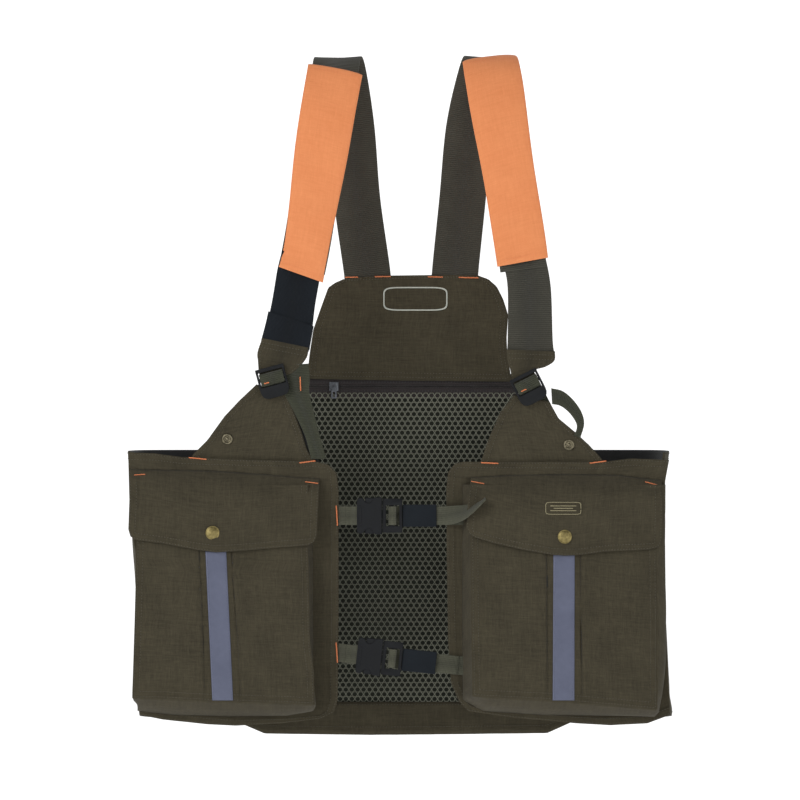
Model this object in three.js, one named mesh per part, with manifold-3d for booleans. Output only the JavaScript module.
// Utility harness vest: canvas back yoke and mesh back, two shoulder straps with loose
// sleeves, two front panels with bellows pockets, and two chest straps with buckles.
// Millimetres, +Z up, the wearer faces -Y. The origin lies on the yoke's inner face.
import * as THREE from "three";
import { mergeVertices } from "three/addons/utils/BufferGeometryUtils.js";
import Module from "manifold-3d";

const wasm = await Module();
wasm.setup();

// ---- driving dimensions ----
const GAP = 0.3; // clearance between pieces that touch
const CANVAS = 2; // thickness of a hemmed canvas layer
const TORSO_DEPTH = 104; // from the yoke's inner face to the front panels
const SHOULDER_HEIGHT = 290; // top of the strap arch above the origin
const HEM_DROP = 418; // front hem below the origin
const BACK_HEM_DROP = 434; // back hem below the origin
const SIDE_REACH = 288; // side seams from the middle plane

const WEBBING = 2; // thickness of the shoulder webbing
const SHOULDER_WIDTH = 50; // shoulder webbing width
const SLEEVE_WALL = 1.2;
const SLEEVE_SLACK = 2.8; // loose sleeve past each edge of the webbing
const SLEEVE_ROOM = 0.6; // sleeve cavity in front of and behind the webbing

const STRAP_WIDTH = 20; // chest strap webbing width
const STRAP_THICK = 1.4;
const BUCKLE_WIDTH = 38; // across the female body
const BUCKLE_THICK = 9;
const BUCKLE_WALL = 2.2;
const BUCKLE_LENGTH = 18; // hollow part of the female body
const BUCKLE_TRAVEL = 24; // pull that frees the male part
const BAR = 3; // webbing bars of the buckles, both ways
const FRAME_LENGTH = 21; // male part outside the female
const KEEPER_LENGTH = 36;
const KEEPER_ROOM = 0.4;
const KEEPER_WALL = 1.3;

const POCKET_WALL = 1.6;
const POCKET_MOUTH = 10; // pocket depth at its mouth
const POCKET_DEPTH = 31; // pocket depth at its foot
const POCKET_DROP = 230; // mouth to foot
const MOUTH_Z = -163;
const FLAP_LIFT = 4.6; // flap in front of the pocket face
const FLAP_THICK = 1.6;
const SEAM_Z = -150; // flap seam
const TAPE_WIDTH = 22; // reflective tape

const CAP_RADIUS = 7.3; // snap cap
const STUD_RADIUS = 2.2;
const STUD_FIT = 0.4; // radial clearance of the stud in the socket

const LOCK_WIDTH = 31; // ladder lock
const LOCK_HEIGHT = 33;
const LOCK_THICK = 4;
const LOCK_BAR = 4;
const LOCK_BAR_Z = 14.5; // its top bar above its centre
const LOWER_BAR_Z = -5; // its lower bar
const TAB_WIDTH = 24; // fabric tab round the top bar
const TAB_THICK = 1.6;

const ZIP_LEFT = -100;
const ZIP_RIGHT = 127;
const ZIP_Z = -60;
const ZIP_BEAD = 2.3;
const ZIP_SPLIT = 1.4; // between the two beads
const SLIDER_LENGTH = 10;

const BAG_DEPTH = 44; // rear game bag
const BAG_WALL = 2;
const BAG_TOP = -80;

// ---- places worked out from them ----
const BACK_LEFT = -176;
const BACK_RIGHT = 190;
const SLEEVE_WIDTH = SHOULDER_WIDTH + 2 * (SLEEVE_WALL + SLEEVE_SLACK);
const FRONT_FACE = -(TORSO_DEPTH + CANVAS);
const CHEST_Y = -(TORSO_DEPTH - GAP - CANVAS); // back face of the chest panels
const CHEST_FACE = CHEST_Y - CANVAS;
// A strand's centre from the centre of the bar that it turns over.
const STRAND = Math.hypot(BAR, BAR) / 2 + GAP + STRAP_THICK / 2;
const LOCK_TURN = Math.hypot(BAR, LOCK_THICK) / 2 + GAP + STRAP_THICK / 2;
const LOCK_Y = CHEST_FACE - GAP - STRAP_THICK / 2 - LOCK_TURN;
const KEEPER_REACH = STRAND + STRAP_THICK / 2 + KEEPER_ROOM + KEEPER_WALL;
const BUCKLE_Y = FRONT_FACE - 2 * GAP - KEEPER_REACH;
const POCKET_BACK = FRONT_FACE - GAP;

// Each side: s is its sign in X, the rest are distances from the middle plane.
const LEFT = {
  name: "left", s: -1, inner: 65, outer: SIDE_REACH, top: -139, rise: 8,
  flapIn: 85, flapOut: 287, pocketIn: 92, pocketOut: 281,
  cap: [198, -215], snap: [183, -116], tapeX: [194, 187],
  chestTop: [[152, -60], [122, -71]],
  strap: [[3.4, 40, 35], [3, 60, 35], [1, 140, 46], [-10, 215, 52], [-30, 270, 60]],
  top3: [-50, 0, 66],
  front: [[-74, -20, 70], [-90, -79, 80], [-98, -190, 97], [-100, -250, 109]],
  low: [[50, 108], [0, 117], [-20, 121]],
  lock: [-134.5, -55.5], tilt: 15, tabTop: [-122, -18], back: 35,
};
const RIGHT = {
  name: "right", s: 1, inner: 49, outer: SIDE_REACH - 5, top: -140, rise: 3,
  flapIn: 70, flapOut: 277, pocketIn: 75, pocketOut: 272,
  cap: [174, -219], snap: [179, -122], tapeX: [173, 172],
  chestTop: [[158, -80], [120, -71]],
  strap: [[3.4, 40, 59], [3, 60, 59], [1, 140, 67], [-10, 215, 74], [-30, 270, 86]],
  top3: [-50, 0, 94],
  front: [[-74, -20, 99], [-90, -79, 108], [-98, -190, 126], [-100, -250, 134]],
  low: [[50, 135], [0, 138], [-24, 138]],
  lock: [137, -62], tilt: 27, tabTop: [138, -28], back: 59,
};

// ---- looks ----
const paint = (color, roughness, metalness = 0) =>
  new THREE.MeshStandardMaterial({ color, roughness, metalness });
const OLIVE = paint(0x423c30, 0.9);
const MESHY = paint(0x34352a, 0.9);
const WEB = paint(0x3a3832, 0.85);
const STRAP = paint(0x4b4b40, 0.85);
const ORANGE = paint(0xdd8e58, 0.85);
const NAVY = paint(0x1e2228, 0.85);
const BLACK = paint(0x1c2028, 0.45);
const LINING = paint(0x191b19, 0.9);
const SILVER = paint(0x5f637d, 0.45);
const BRASS = paint(0x8c7e50, 0.35, 1);
const STEEL = paint(0x50535a, 0.35, 1);

const group = new THREE.Group();

function piece(name, geometry, material, parent = group) {
  const mesh = new THREE.Mesh(geometry, material);
  mesh.name = name;
  parent.add(mesh);
  return mesh;
}

// ---- solids and booleans ----
function solidOf(geometry) {
  const bare = geometry.clone();
  bare.deleteAttribute("normal");
  bare.deleteAttribute("uv");
  const merged = mergeVertices(bare, 1e-4);
  const vertProperties = new Float32Array(merged.attributes.position.array);
  const triVerts = new Uint32Array(merged.index.array);
  return new wasm.Manifold(new wasm.Mesh({ numProp: 3, vertProperties, triVerts }));
}

function geometryOf(solid) {
  const made = solid.getMesh();
  const geometry = new THREE.BufferGeometry();
  geometry.setAttribute("position", new THREE.BufferAttribute(made.vertProperties, 3));
  geometry.setIndex(new THREE.BufferAttribute(made.triVerts, 1));
  return geometry;
}

const joined = (first, ...more) =>
  geometryOf(more.reduce((solid, g) => solid.add(solidOf(g)), solidOf(first)));
const cut = (first, ...tools) =>
  geometryOf(tools.reduce((solid, g) => solid.subtract(solidOf(g)), solidOf(first)));
const common = (a, b) => geometryOf(solidOf(a).intersect(solidOf(b)));

function box(x0, x1, y0, y1, z0, z1) {
  const g = new THREE.BoxGeometry(x1 - x0, y1 - y0, z1 - z0);
  return g.translate((x0 + x1) / 2, (y0 + y1) / 2, (z0 + z1) / 2);
}

// A disc whose axis runs along Y, from y0 forward to y0 - height.
function disc(radius, x, y0, z, height, sides = 20) {
  const g = new THREE.CylinderGeometry(radius, radius, height, sides);
  return g.translate(x, y0 - height / 2, z);
}

const extruded = (shape, depth, curveSegments = 4) =>
  new THREE.ExtrudeGeometry(shape, { depth, bevelEnabled: false, curveSegments });

const outlineOf = (points) => new THREE.Shape(points.map(([a, b]) => new THREE.Vector2(a, b)));

// An outline in X and Z, with its back face at yBack, made thick towards -Y.
const frontPlate = (shape, yBack, thick) =>
  extruded(shape, thick).rotateX(Math.PI / 2).translate(0, yBack, 0);

// An outline in X and Y, made tall from z0 to z1.
const planPlate = (shape, z0, z1) => extruded(shape, z1 - z0).translate(0, 0, z0);

// An outline in Y and Z, made wide from x0 to x1.
const sidePlate = (shape, x0, x1) =>
  extruded(shape, x1 - x0).rotateX(Math.PI / 2).rotateZ(Math.PI / 2).translate(x0, 0, 0);

// A closed outline that follows an open path at a steady thickness.
function band(path, thick) {
  const near = [];
  const far = [];
  path.forEach(([a, b], i) => {
    const before = path[Math.max(i - 1, 0)];
    const after = path[Math.min(i + 1, path.length - 1)];
    const length = Math.hypot(after[0] - before[0], after[1] - before[1]);
    const na = (-(after[1] - before[1]) / length) * (thick / 2);
    const nb = ((after[0] - before[0]) / length) * (thick / 2);
    near.push([a + na, b + nb]);
    far.unshift([a - na, b - nb]);
  });
  const points = [...near, ...far].map(([a, b]) => new THREE.Vector2(a, b));
  return new THREE.Shape(THREE.ShapeUtils.isClockWise(points) ? points.reverse() : points);
}

function smooth(path, steps) {
  const curve = new THREE.SplineCurve(path.map(([a, b]) => new THREE.Vector2(a, b)));
  return curve.getPoints(steps).map((p) => [p.x, p.y]);
}

// Moves every vertex by a function of its place.
function warped(geometry, move) {
  const at = geometry.getAttribute("position");
  const v = new THREE.Vector3();
  for (let i = 0; i < at.count; i++) {
    v.fromBufferAttribute(at, i);
    move(v);
    at.setXYZ(i, v.x, v.y, v.z);
  }
  return geometry;
}

// A mirrored outline keeps its faces outward, because Shape sorts its winding.
const sided = (side, points) => outlineOf(points.map(([u, z]) => [side.s * u, z]));

// ---- back ----
function backPanels() {
  const yoke = [[-100, -52], [-93, 1], [-77, 46], [-60, 55], [-10, 60], [30, 60], [84, 59],
    [104, 47], [116, 17], [114, -23], [121, -52]];
  piece("back_yoke", frontPlate(outlineOf(yoke), CANVAS, CANVAS), OLIVE);
  const mesh = [[BACK_LEFT, -398], [BACK_LEFT, -140], [-150, -110], [-104, -67], [130, -67],
    [165, -110], [BACK_RIGHT, -140], [BACK_RIGHT, -398]];
  piece("back_mesh_panel", frontPlate(outlineOf(mesh), CANVAS, CANVAS), MESHY);
  const low = [[BACK_LEFT, -398 - GAP], [BACK_RIGHT, -398 - GAP], [BACK_RIGHT, -418],
    [158, -BACK_HEM_DROP + 2], [8, -BACK_HEM_DROP], [-145, -BACK_HEM_DROP + 1],
    [BACK_LEFT, -418]];
  piece("lower_band", frontPlate(outlineOf(low), CANVAS, CANVAS), OLIVE);
  const inner = CANVAS + GAP;
  const shell = box(BACK_LEFT + 6, BACK_RIGHT - 6, inner, inner + BAG_DEPTH, -428, BAG_TOP);
  const hollow = box(BACK_LEFT + 6 + BAG_WALL, BACK_RIGHT - 6 - BAG_WALL, inner - 1,
    inner + BAG_DEPTH - BAG_WALL, -428 + BAG_WALL, BAG_TOP + 1);
  piece("rear_game_bag", cut(shell, hollow), OLIVE);
}

function zip() {
  const bead = [1.8, 4];
  const tape = [2.4, 3.4];
  const half = ZIP_SPLIT / 2;
  for (const [name, up] of [["zip_tape_upper", 1], ["zip_tape_lower", -1]]) {
    const section = [[tape[0], half + ZIP_BEAD], [bead[0], half + ZIP_BEAD], [bead[0], half],
      [bead[1], half], [bead[1], half + ZIP_BEAD], [tape[1], half + ZIP_BEAD],
      [tape[1], 13.5], [tape[0], 13.5]].map(([y, z]) => [y, ZIP_Z + up * z]);
    piece(name, sidePlate(outlineOf(section), ZIP_LEFT, ZIP_RIGHT), NAVY);
  }
  const x = ZIP_LEFT + 24;
  const front = box(x, x + SLIDER_LENGTH, 0.2, bead[0] - 0.4, ZIP_Z - 5, ZIP_Z + 5);
  const rear = box(x, x + SLIDER_LENGTH, bead[1] + 0.4, bead[1] + 1.5, ZIP_Z - 5, ZIP_Z + 5);
  const post = box(x + 1, x + 4, 0.5, bead[1] + 1, ZIP_Z - 0.4, ZIP_Z + 0.4);
  const lug = box(x + 3, x + 7, -0.5, 1, ZIP_Z - 1.5, ZIP_Z + 1.5);
  piece("zip_slider", joined(front, rear, post, lug), STEEL);
  const pull = box(x + 2, x + 8, -2.1, -1.1, ZIP_Z - 13, ZIP_Z + 0.5);
  const eye = box(x + 3.8, x + 6.2, -3, 0, ZIP_Z - 11, ZIP_Z - 6);
  piece("zip_pull", cut(pull, eye), STEEL);
}

// ---- straps ----
// The strap's centre line: [y, z, x], up the back, over the shoulder and down the front.
function strapLine(side) {
  const rise = SHOULDER_HEIGHT / 290;
  const reach = TORSO_DEPTH / 104;
  const z = (value) => value * (value > 60 ? rise : 1);
  const points = [
    ...side.strap.map(([y, h, x]) => [y * (y < 0 ? reach : 1), z(h), x]),
    [side.top3[0] * reach, SHOULDER_HEIGHT, side.top3[2]],
    ...side.front.map(([y, drop, x]) => [y * reach, SHOULDER_HEIGHT + drop * rise, x]),
  ];
  const curve = new THREE.CatmullRomCurve3(points.map(([a, b, c]) => new THREE.Vector3(a, b, c)));
  return curve.getPoints(36).map((p) => [p.x, p.y, p.z]);
}

// A flat strap of a given width and thickness along part of the centre line.
function strapPiece(side, line, width, thick) {
  const half = width / 2;
  const flat = sidePlate(band(line, thick), -half, half);
  return warped(flat, (v) => {
    let best = line[0];
    let least = Infinity;
    for (const p of line) {
      const away = Math.hypot(p[0] - v.y, p[1] - v.z);
      if (away < least) {
        least = away;
        best = p;
      }
    }
    v.x += side.s * best[2];
  });
}

function shoulder(side) {
  const line = strapLine(side);
  piece(side.name + "_shoulder_webbing",
    strapPiece(side, line, SHOULDER_WIDTH, WEBBING), WEB);
  const first = Math.round(line.length * 0.53);
  const last = line.length - 1;
  const room = WEBBING + 2 * SLEEVE_ROOM;
  const outer = strapPiece(side, line.slice(first, last), SLEEVE_WIDTH, room + 2 * SLEEVE_WALL);
  const inside = strapPiece(side, line.slice(first - 1), SLEEVE_WIDTH - 2 * SLEEVE_WALL, room);
  piece(side.name + "_shoulder_sleeve", cut(outer, inside), ORANGE);

  // The lower strap lies behind the end of the shoulder webbing.
  const end = line[line.length - 1];
  const y = end[0] + WEBBING + 3 * GAP;
  const low = side.low.map(([z, x]) => [y, z, x]);
  piece(side.name + "_lower_strap", strapPiece(side, low, SHOULDER_WIDTH - 4, WEBBING),
    side === LEFT ? NAVY : WEB);
}

// ---- ladder lock, its fabric tab and its webbing ----
function lockShape() {
  const w = LOCK_WIDTH / 2;
  const h = LOCK_HEIGHT / 2;
  const shape = new THREE.Shape();
  shape.moveTo(-w, h);
  shape.lineTo(-w, -h + 10);
  shape.quadraticCurveTo(-w, -h, -w + 9, -h);
  shape.lineTo(w - 9, -h);
  shape.quadraticCurveTo(w, -h, w, -h + 10);
  shape.lineTo(w, h);
  const slot = (z0, z1) => {
    const hole = outlineOf([[-w + 2.4, z0], [w - 2.4, z0], [w - 2.4, z1], [-w + 2.4, z1]]);
    shape.holes.push(hole);
  };
  slot(6.6, LOCK_BAR_Z - LOCK_BAR / 2);
  slot(LOWER_BAR_Z + BAR / 2, 2.6);
  return shape;
}

const arc = (y, z, r, from, to, steps) =>
  Array.from({ length: steps + 1 }, (_, i) => {
    const a = THREE.MathUtils.degToRad(from + ((to - from) * i) / steps);
    return [y + r * Math.cos(a), z + r * Math.sin(a)];
  });

function ladderLock(side) {
  const place = new THREE.Group();
  place.position.set(side.lock[0], LOCK_Y, side.lock[1]);
  place.rotation.y = -THREE.MathUtils.degToRad(side.tilt);
  group.add(place);
  piece(side.name + "_ladder_lock", frontPlate(lockShape(), LOCK_THICK / 2, LOCK_THICK), BLACK,
    place);

  // The tab hangs on the lower strap, widens upwards and loops round the top bar.
  const a = THREE.MathUtils.degToRad(side.tilt);
  const gx = side.tabTop[0] - side.lock[0];
  const gz = side.tabTop[1] - side.lock[1];
  const topX = gx * Math.cos(a) + gz * Math.sin(a);
  const topZ = -gx * Math.sin(a) + gz * Math.cos(a);
  const end = strapLine(side).at(-1)[0];
  const backY = end + GAP - TAB_THICK / 2 - 0.2 - LOCK_Y;
  const r = Math.hypot(LOCK_BAR, LOCK_THICK) / 2 + GAP + TAB_THICK / 2;
  const path = [
    [backY, topZ],
    [Math.max(r, backY - 1), LOCK_BAR_Z + 5],
    ...arc(0, LOCK_BAR_Z, r, 0, -180, 8),
    [r - TAB_THICK - 2.6, LOCK_BAR_Z + 8],
    [Math.max(r, backY - 1) - TAB_THICK - GAP, LOCK_BAR_Z + 11],
  ];
  const flat = sidePlate(band(path, TAB_THICK), -0.5, 0.5);
  const tab = warped(flat, (v) => {
    const t = THREE.MathUtils.clamp((v.z - LOCK_BAR_Z) / (topZ - LOCK_BAR_Z), 0, 1);
    const width = THREE.MathUtils.lerp(TAB_WIDTH, SHOULDER_WIDTH - 4, t);
    v.x = v.x * width + topX * t * t;
  });
  piece(side.name + "_strap_tab", tab, OLIVE, place);

  // The adjuster webbing is sewn on the chest panel and turns over the lower bar.
  const run = [
    [LOCK_TURN, -26],
    [LOCK_TURN, LOWER_BAR_Z - 1],
    ...arc(0, LOWER_BAR_Z, LOCK_TURN, 30, 150, 5),
    [-LOCK_TURN, LOWER_BAR_Z - 1],
    [-LOCK_TURN, -13],
  ];
  piece(side.name + "_adjuster_webbing",
    sidePlate(band(run, STRAP_THICK), -TAB_WIDTH / 2, TAB_WIDTH / 2), STRAP, place);
}

// ---- adjuster tails ----
function tails() {
  const left = outlineOf([[-113, -64], [-101, -64], [-92, -88], [-78, -137], [-94, -137],
    [-104.5, -86]]);
  const y = LOCK_Y + LOCK_THICK / 2;
  const drop = (v) => {
    const t = THREE.MathUtils.clamp((-64 - v.z) / 22, 0, 1);
    v.y += t * (CHEST_Y - y);
  };
  const plate = frontPlate(left, y + STRAP_THICK + GAP, STRAP_THICK);
  piece("left_adjuster_tail", warped(plate, drop), STRAP);
  const right = new THREE.Shape();
  right.moveTo(160, -64);
  right.quadraticCurveTo(190, -72, 194, -99);
  right.quadraticCurveTo(194, -108, 189, -116);
  right.lineTo(181, -110);
  right.quadraticCurveTo(189, -100, 180, -89);
  right.quadraticCurveTo(172, -80, 162, -79);
  piece("right_adjuster_tail", frontPlate(right, CHEST_FACE - GAP, STRAP_THICK), STRAP);
}

// ---- front of one side ----
function frontPanel(side) {
  const { inner, outer, top, rise } = side;
  const hem = -HEM_DROP;
  const shape = new THREE.Shape();
  shape.moveTo(side.s * inner, top - 13);
  shape.quadraticCurveTo(side.s * inner, top, side.s * (inner + 15), top);
  shape.lineTo(side.s * (outer - 55), top + rise / 2);
  shape.lineTo(side.s * outer, top + rise);
  shape.lineTo(side.s * (outer - 3), hem + 35);
  shape.lineTo(side.s * (outer - 8), hem + 10);
  shape.quadraticCurveTo(side.s * (inner + 110), hem - 8, side.s * (inner + 22), hem + 6);
  shape.quadraticCurveTo(side.s * (inner + 2), hem + 8, side.s * (inner + 1), hem + 24);
  piece(side.name + "_front_panel", frontPlate(shape, -TORSO_DEPTH, CANVAS), OLIVE);
}

function chestPanel(side) {
  const [outTop, inTop] = side.chestTop;
  const under = side.top - 9;
  const u = outTop[0];
  const points = [inTop, [106, -95], [90, under + 5], [89, under], [219, under],
    [214, side.top + 2], [u + 35, -113], [u + 10, -88], outTop];
  piece(side.name + "_chest_panel", frontPlate(sided(side, points), CHEST_Y, CANVAS), OLIVE);
  const [x, z] = side.snap;
  piece(side.name + "_chest_snap", disc(5.9, side.s * x, CHEST_FACE - GAP, z, 1.6), STEEL);
}

function sidePanel(side) {
  const s = side.s;
  const back = side === LEFT ? -BACK_LEFT : BACK_RIGHT;
  const out = side.outer;
  const path = smooth([[out - 4, -TORSO_DEPTH + GAP], [out + 2, -TORSO_DEPTH * 0.55],
    [out - 12, -TORSO_DEPTH * 0.22], [out - 46, -3], [back + 24, 1], [back + GAP + 0.1, 1]], 14);
  const shape = band(path.map(([u, y]) => [s * u, y]), CANVAS);
  piece(side.name + "_side_panel", planPlate(shape, -HEM_DROP + 10, side.top + 10), LINING);
}

// The pocket face and what lies on it slope forward towards the foot.
const slope = (POCKET_DEPTH - POCKET_MOUTH) / POCKET_DROP;
const faceY = (z) => POCKET_BACK - POCKET_MOUTH - (MOUTH_Z - z) * slope;

function pocket(side) {
  const foot = MOUTH_Z - POCKET_DROP;
  const x0 = side.s > 0 ? side.pocketIn : -side.pocketOut;
  const x1 = side.s > 0 ? side.pocketOut : -side.pocketIn;
  const outer = outlineOf([[POCKET_BACK, MOUTH_Z], [POCKET_BACK, foot - 6],
    [faceY(foot) + 8, foot - 4], [faceY(foot), foot], [faceY(MOUTH_Z), MOUTH_Z]]);
  const w = POCKET_WALL;
  const inner = outlineOf([[POCKET_BACK + 1, MOUTH_Z + 1], [POCKET_BACK + 1, foot - 6 + w],
    [faceY(foot) + 8, foot - 4 + w], [faceY(foot) + w, foot + w / 2],
    [faceY(MOUTH_Z) + w, MOUTH_Z + 1]]);
  const bag = cut(sidePlate(outer, x0, x1), sidePlate(inner, x0 + w, x1 - w));
  piece(side.name + "_pocket_bag", bag, OLIVE);

  const along = (z, lift) => [faceY(z) - lift, z];
  const tapeLift = GAP + 0.4;
  const path = [along(-236, tapeLift), along(foot + 1, tapeLift)];
  const tape = warped(sidePlate(band(path, 0.8), -TAPE_WIDTH / 2, TAPE_WIDTH / 2), (v) => {
    const t = (-236 - v.z) / (foot + 237);
    v.x += side.s * THREE.MathUtils.lerp(side.tapeX[0], side.tapeX[1], Math.abs(t));
  });
  piece(side.name + "_reflective_tape", tape, SILVER);
}

function flap(side) {
  const { flapIn, flapOut, cap } = side;
  const low = cap[1] - 17;
  const line = smooth([[POCKET_BACK - 1.2, SEAM_Z], [faceY(MOUTH_Z) + 2, SEAM_Z - 6],
    [faceY(-172) - FLAP_LIFT, -172]], 7);
  line.push([faceY(low - 2) - FLAP_LIFT, low - 2]);
  const x0 = side.s > 0 ? flapIn : -flapOut;
  const x1 = side.s > 0 ? flapOut : -flapIn;
  const sheet = sidePlate(band(line, FLAP_THICK), x0, x1);
  const outline = sided(side, [[flapIn, SEAM_Z + 2], [flapIn + 2, low + 16], [flapIn + 8, low + 9],
    [cap[0], low], [flapOut - 8, low + 8], [flapOut, low + 18], [flapOut, SEAM_Z + 2]]);
  const trimmed = common(sheet, frontPlate(outline, -TORSO_DEPTH, 60));
  piece(side.name + "_pocket_flap", trimmed, OLIVE);
  snap(side);
}

// Cap and socket are set in the flap, and the stud is set in the pocket face.
function snap(side) {
  const [u, z] = side.cap;
  const place = new THREE.Group();
  place.position.set(side.s * u, faceY(z), z);
  place.rotation.x = -Math.atan(slope);
  group.add(place);
  const flapBack = -FLAP_LIFT + FLAP_THICK / 2;
  const flapFront = -FLAP_LIFT - FLAP_THICK / 2;
  piece(side.name + "_snap_cap", disc(CAP_RADIUS, 0, flapFront - GAP, 0, 1.8), BRASS, place);
  const socket = disc(6, 0, flapBack + GAP + 1.6, 0, 1.6);
  const hole = disc(STUD_RADIUS + STUD_FIT, 0, flapBack + GAP + 2, 0, 2.4);
  piece(side.name + "_snap_socket", cut(socket, hole), BRASS, place);
  const base = disc(6, 0, -GAP, 0, 0.9);
  const pin = disc(STUD_RADIUS, 0, -GAP - 0.5, 0, 2);
  piece(side.name + "_snap_stud", joined(base, pin), BRASS, place);
}

function flapLabel() {
  const z = -189;
  const y = faceY(z) - FLAP_LIFT - FLAP_THICK / 2 - GAP;
  const path = [[y - 0.3 + slope * -8, z + 8], [y - 0.3, z], [y - 0.3 - slope * -8, z - 8]];
  path.forEach((p) => {
    p[0] = faceY(p[1]) - FLAP_LIFT - FLAP_THICK / 2 - GAP - 0.3;
  });
  piece("right_flap_label", sidePlate(band(path, 0.6), 152, 193), BRASS);
}

// ---- chest straps: a stub, a side-release buckle, a keeper and the adjustable webbing ----
function chestStrap(name, z, tilt, sewnX) {
  const place = new THREE.Group();
  place.position.set(0, 0, z);
  group.add(place);
  const buckle = new THREE.Group();
  const pivot = -LEFT.inner - 2;
  buckle.position.set(pivot, BUCKLE_Y, 0);
  buckle.rotation.y = THREE.MathUtils.degToRad(tilt);
  place.add(buckle);
  const at = (x) => x - pivot; // buckle places are written from the middle plane

  const female = at(-37);
  const mouth = female + BUCKLE_LENGTH;
  const w = BUCKLE_WIDTH / 2;
  const t = BUCKLE_THICK / 2;
  const half = STRAP_WIDTH / 2 + 1;
  const body = box(female, mouth, -t, t, -w, w);
  const tongue = box(female - 8, female + 1, -BAR / 2, BAR / 2, -half - 3, half + 3);
  const slot = box(female - 8 + BAR, female - 1, -t, t, -half, half);
  const hollow = box(female + 2, mouth + 1, -t + BUCKLE_WALL, t - BUCKLE_WALL, -w + 3, w - 3);
  const window = box(female + 4, mouth - 6, -t + BUCKLE_WALL, t - BUCKLE_WALL, -w - 1, w + 1);
  piece(name + "_buckle_female", cut(joined(body, tongue), slot, hollow, window), BLACK, buckle);

  // Male part: a frame with two webbing bars, a guide tongue and two squeeze prongs.
  const frame = mouth + GAP;
  const outer = box(frame, frame + FRAME_LENGTH, -2.5, 2.5, -w + 1, w - 1);
  const slotA = box(frame + 4, frame + 9, -4, 4, -half, half);
  const slotB = box(frame + 9 + BAR, frame + FRAME_LENGTH - BAR, -4, 4, -half, half);
  const rear = box(frame + 3.5, frame + FRAME_LENGTH + 1, 1.5, 4, -half, half);
  const proud = box(frame + 3.5, frame + FRAME_LENGTH - BAR + 1, -4, -1.5, -half, half);
  const guide = box(frame - 13, frame + 1, -1.6, 1.6, -3, 3);
  piece(name + "_buckle_male", joined(cut(outer, slotA, slotB, rear, proud), guide), BLACK,
    buckle);
  for (const [tag, up] of [["prong_upper", 1], ["prong_lower", -1]]) {
    const points = [[frame - GAP, 8], [frame - 8, 9.5], [frame - 9, 16.5], [frame - 12, 17.5],
      [frame - 14, 12], [frame - 13, 8], [frame - 8, 6], [frame - GAP, 5]];
    const shape = outlineOf(points.map(([x, h]) => [x, up * h]));
    piece(`${name}_${tag}`, frontPlate(shape, 1.6, 3.2), BLACK, buckle);
  }

  // The stub is sewn on the left front panel and doubles back round the female's bar.
  const barX = female - 8 + BAR / 2;
  const sewn = FRONT_FACE - GAP - STRAP_THICK / 2 - BUCKLE_Y;
  const stub = [
    [at(-LEFT.inner - 11), sewn],
    [at(-LEFT.inner), sewn],
    [at(-LEFT.inner + 7), STRAND],
    [barX, STRAND],
    ...arc(barX, 0, STRAND, 60, -60, 4),
    [barX - 2.5, -STRAND],
    [barX - 7.5, STRAND - STRAP_THICK - GAP],
    [barX - 13, STRAND - STRAP_THICK - GAP],
  ];
  const wide = (path) => planPlate(band(path, STRAP_THICK), -STRAP_WIDTH / 2, STRAP_WIDTH / 2);
  piece(name + "_strap_stub", wide(stub), STRAP, buckle);

  // The webbing turns over the male's middle bar and is sewn on the right front panel.
  const midX = frame + 9 + BAR / 2;
  const end = at(sewnX);
  const main = [
    [end, sewn],
    [end - 9, sewn],
    [end - 18, STRAND],
    [midX, STRAND],
    ...arc(midX, 0, STRAND, 120, 240, 4),
    [midX, -STRAND],
    [midX + 3.3, -STRAND + 0.8],
  ];
  piece(name + "_chest_webbing", wide(main), STRAP, buckle);
  keeper(name, frame + FRAME_LENGTH + GAP, buckle);
}

// An elastic loop that holds the webbing and its tail together.
function keeper(name, x, parent) {
  const back = STRAND + STRAP_THICK / 2 + KEEPER_ROOM;
  const front = STRAND - STRAP_THICK * 1.5 - GAP - KEEPER_ROOM;
  const h = STRAP_WIDTH / 2 + KEEPER_ROOM;
  const end = x + KEEPER_LENGTH;
  const wall = KEEPER_WALL;
  const loop = box(x, end, front - wall, back + wall, -h - wall, h + wall);
  const room = box(x - 1, end + 1, front, back, -h, h);
  piece(name + "_strap_keeper", cut(loop, room), NAVY, parent);
}

// The free end of the upper webbing curls over the edge of the right flap.
function strapTail(z) {
  const y = BUCKLE_Y + STRAND - STRAP_THICK - GAP;
  const out = faceY(-190) - FLAP_LIFT - FLAP_THICK - 3;
  const path = smooth([[10, y], [42, y], [56, y - 2], [68, out], [88, out - 2]], 12);
  const flat = planPlate(band(path, STRAP_THICK), -STRAP_WIDTH / 2, STRAP_WIDTH / 2);
  const tail = warped(flat, (v) => {
    const t = THREE.MathUtils.clamp((v.x - 45) / 43, 0, 1);
    v.z = z + v.z * (1 - 0.35 * t) + 10 * t;
  });
  piece("upper_strap_tail", tail, STRAP);
}

backPanels();
zip();
for (const side of [LEFT, RIGHT]) {
  shoulder(side);
  ladderLock(side);
  frontPanel(side);
  chestPanel(side);
  sidePanel(side);
  pocket(side);
  flap(side);
}
tails();
flapLabel();
chestStrap("upper", -197, 0, 69);
chestStrap("lower", -342, 6, 73);
strapTail(-197);

export default group;
